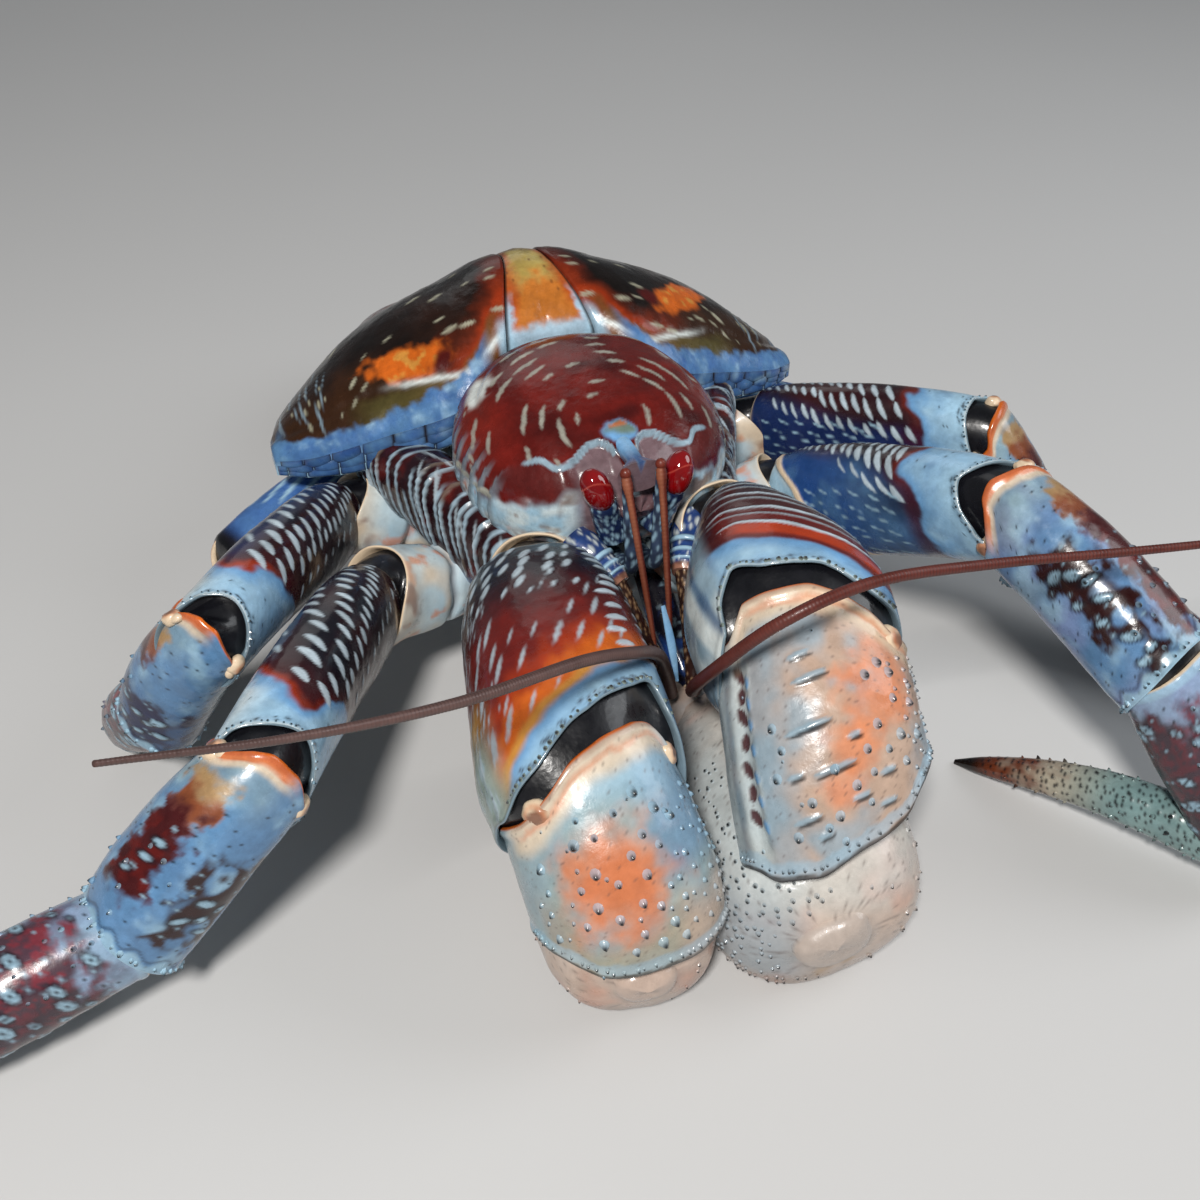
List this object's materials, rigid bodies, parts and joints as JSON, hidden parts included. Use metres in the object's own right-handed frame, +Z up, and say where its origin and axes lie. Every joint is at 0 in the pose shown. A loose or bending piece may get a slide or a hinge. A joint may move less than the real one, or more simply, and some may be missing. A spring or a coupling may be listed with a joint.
{
  "type": "coconut crab",
  "caption": "Life-size model of a coconut crab at rest: domed carapace, folded claws, spread walking legs, tucked abdomen, feelers held forward.",
  "frame": {"origin": "point on the floor under the middle of the abdomen's third ring", "axes": "+Z up, -Y the way the crab faces, +X to the crab's left"},
  "size_m": [0.4439, 0.318, 0.1355],
  "materials": {
    "dark_shell": "glossy near-black shell with pale flecks",
    "maroon_shell": "glossy maroon shell with pale flecks",
    "amber_shell": "glossy amber shell",
    "blue_shell": "satin light-blue shell with dark dots",
    "sand_shell": "satin grey-pink shell with tubercles",
    "pale_shell": "smooth pale shell",
    "abdomen_shell": "leathery red-brown plates",
    "feeler_brown": "red-brown ringed feelers",
    "eye_red": "wet, deep red"
  },
  "bodies": {
    "root": {"abdomen_1": "abdomen_shell", "abdomen_2": "abdomen_shell", "abdomen_3": "abdomen_shell", "antenna_base_left": "blue_shell", "antenna_base_right": "blue_shell", "antenna_left_1": "feeler_brown", "antenna_left_2": "feeler_brown", "antenna_right_1": "feeler_brown", "antenna_right_2": "feeler_brown", "antennule_left": "feeler_brown", "antennule_right": "feeler_brown", "carapace_heart": "amber_shell", "carapace_left": "dark_shell", "carapace_right": "dark_shell", "carapace_shield": "maroon_shell", "claw_left_carpus": "sand_shell", "claw_left_finger": "sand_shell", "claw_left_ischium": "dark_shell", "claw_left_merus": "dark_shell", "claw_left_palm": "sand_shell", "claw_right_carpus": "sand_shell", "claw_right_finger": "sand_shell", "claw_right_ischium": "dark_shell", "claw_right_merus": "dark_shell", "claw_right_palm": "sand_shell", "eye_left": "eye_red", "eye_right": "eye_red", "eyestalk_left": "dark_shell", "eyestalk_right": "dark_shell", "flank_left": "maroon_shell", "flank_right": "maroon_shell", "leg2_left_carpus": "blue_shell", "leg2_left_dactyl": "blue_shell", "leg2_left_ischium": "pale_shell", "leg2_left_merus": "blue_shell", "leg2_left_propodus": "blue_shell", "leg2_right_carpus": "blue_shell", "leg2_right_dactyl": "blue_shell", "leg2_right_ischium": "pale_shell", "leg2_right_merus": "blue_shell", "leg2_right_propodus": "blue_shell", "leg3_left_carpus": "blue_shell", "leg3_left_dactyl": "blue_shell", "leg3_left_ischium": "pale_shell", "leg3_left_merus": "blue_shell", "leg3_left_propodus": "blue_shell", "leg3_right_carpus": "blue_shell", "leg3_right_dactyl": "blue_shell", "leg3_right_ischium": "pale_shell", "leg3_right_merus": "blue_shell", "leg3_right_propodus": "blue_shell", "leg4_left_foot": "blue_shell", "leg4_left_merus": "blue_shell", "leg4_right_foot": "blue_shell", "leg4_right_merus": "blue_shell", "maxilliped_left": "blue_shell", "maxilliped_right": "blue_shell", "telson": "abdomen_shell", "thorax": "pale_shell"}
  },
  "joints": []
}
